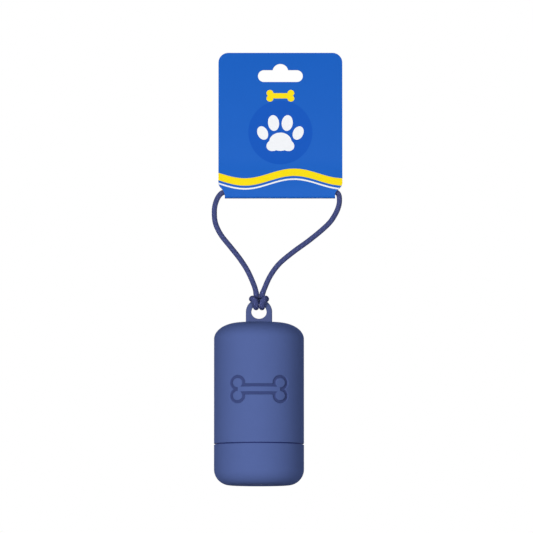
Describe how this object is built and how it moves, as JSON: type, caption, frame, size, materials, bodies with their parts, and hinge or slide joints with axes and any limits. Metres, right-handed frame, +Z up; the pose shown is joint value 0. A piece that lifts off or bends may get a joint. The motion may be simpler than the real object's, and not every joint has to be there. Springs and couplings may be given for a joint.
{
  "type": "dog waste bag dispenser",
  "caption": "Screw-capped round capsule for a roll of dog waste bags, hitched by a cord loop through the fold of a retail hang card.",
  "frame": {"origin": "centre of the straight part of the hang slot, in the middle of the card's thickness", "axes": "+X across the card to the right as seen from its front, +Y towards its back, +Z up; the part hangs down from the origin"},
  "size_m": [0.0611, 0.042, 0.2026],
  "materials": {
    "card": "printed blue board with a thin satin varnish",
    "adhesive": "clear glue film",
    "cord": "round braided polyester",
    "sleeve": "shrunk tube",
    "shell": "soft-touch moulded",
    "seal": "dull",
    "core": "raw spiral-wound board",
    "film": "thin crinkled film",
    "band": "plain"
  },
  "bodies": {
    "card": {"hang_card": "card", "card_adhesive": "adhesive"},
    "lanyard": {"lanyard_cord": "cord", "cord_sleeve": "sleeve"},
    "capsule": {"lanyard_hitch": "cord", "housing": "shell"},
    "seal": {"seam_seal": "seal"},
    "screw_cap": {"cap": "shell"},
    "bag_roll": {"roll_core": "core", "bag_01": "film", "bag_02": "film", "bag_03": "film", "bag_04": "film", "bag_05": "film", "bag_06": "film", "bag_07": "film", "bag_08": "film", "bag_09": "film", "bag_10": "film", "bag_11": "film", "bag_12": "film", "bag_13": "film", "bag_14": "film", "bag_15": "film", "roll_band": "band"}
  },
  "joints": [
    {"name": "lanyard_swing", "type": "hinge", "parent": "card", "child": "lanyard", "pos_m": [0, 0, -0.0546], "axis": [1, 0, 0], "range_deg": [-85, 85]},
    {"name": "capsule_swing", "type": "hinge", "parent": "lanyard", "child": "capsule", "pos_m": [-0.01, 0, -0.101], "axis": [1, 0, 0], "range_deg": [-60, 60]},
    {"name": "cap_travel", "type": "slide", "parent": "capsule", "child": "seal", "axis": [0, 0, -1], "range_m": [0, 0.009]},
    {"name": "cap_turn", "type": "hinge", "parent": "seal", "child": "screw_cap", "pos_m": [-0.01, 0, -0.18], "axis": [0, 0, -1], "range_deg": [0, 540]},
    {"name": "roll_spin", "type": "hinge", "parent": "seal", "child": "bag_roll", "pos_m": [-0.01, 0, -0.155], "axis": [0, 0, 1], "continuous": true}
  ],
  "couplings": [
    {"joint": "cap_travel", "follows": "cap_turn", "m_per_rad": 0.00095492}
  ]
}
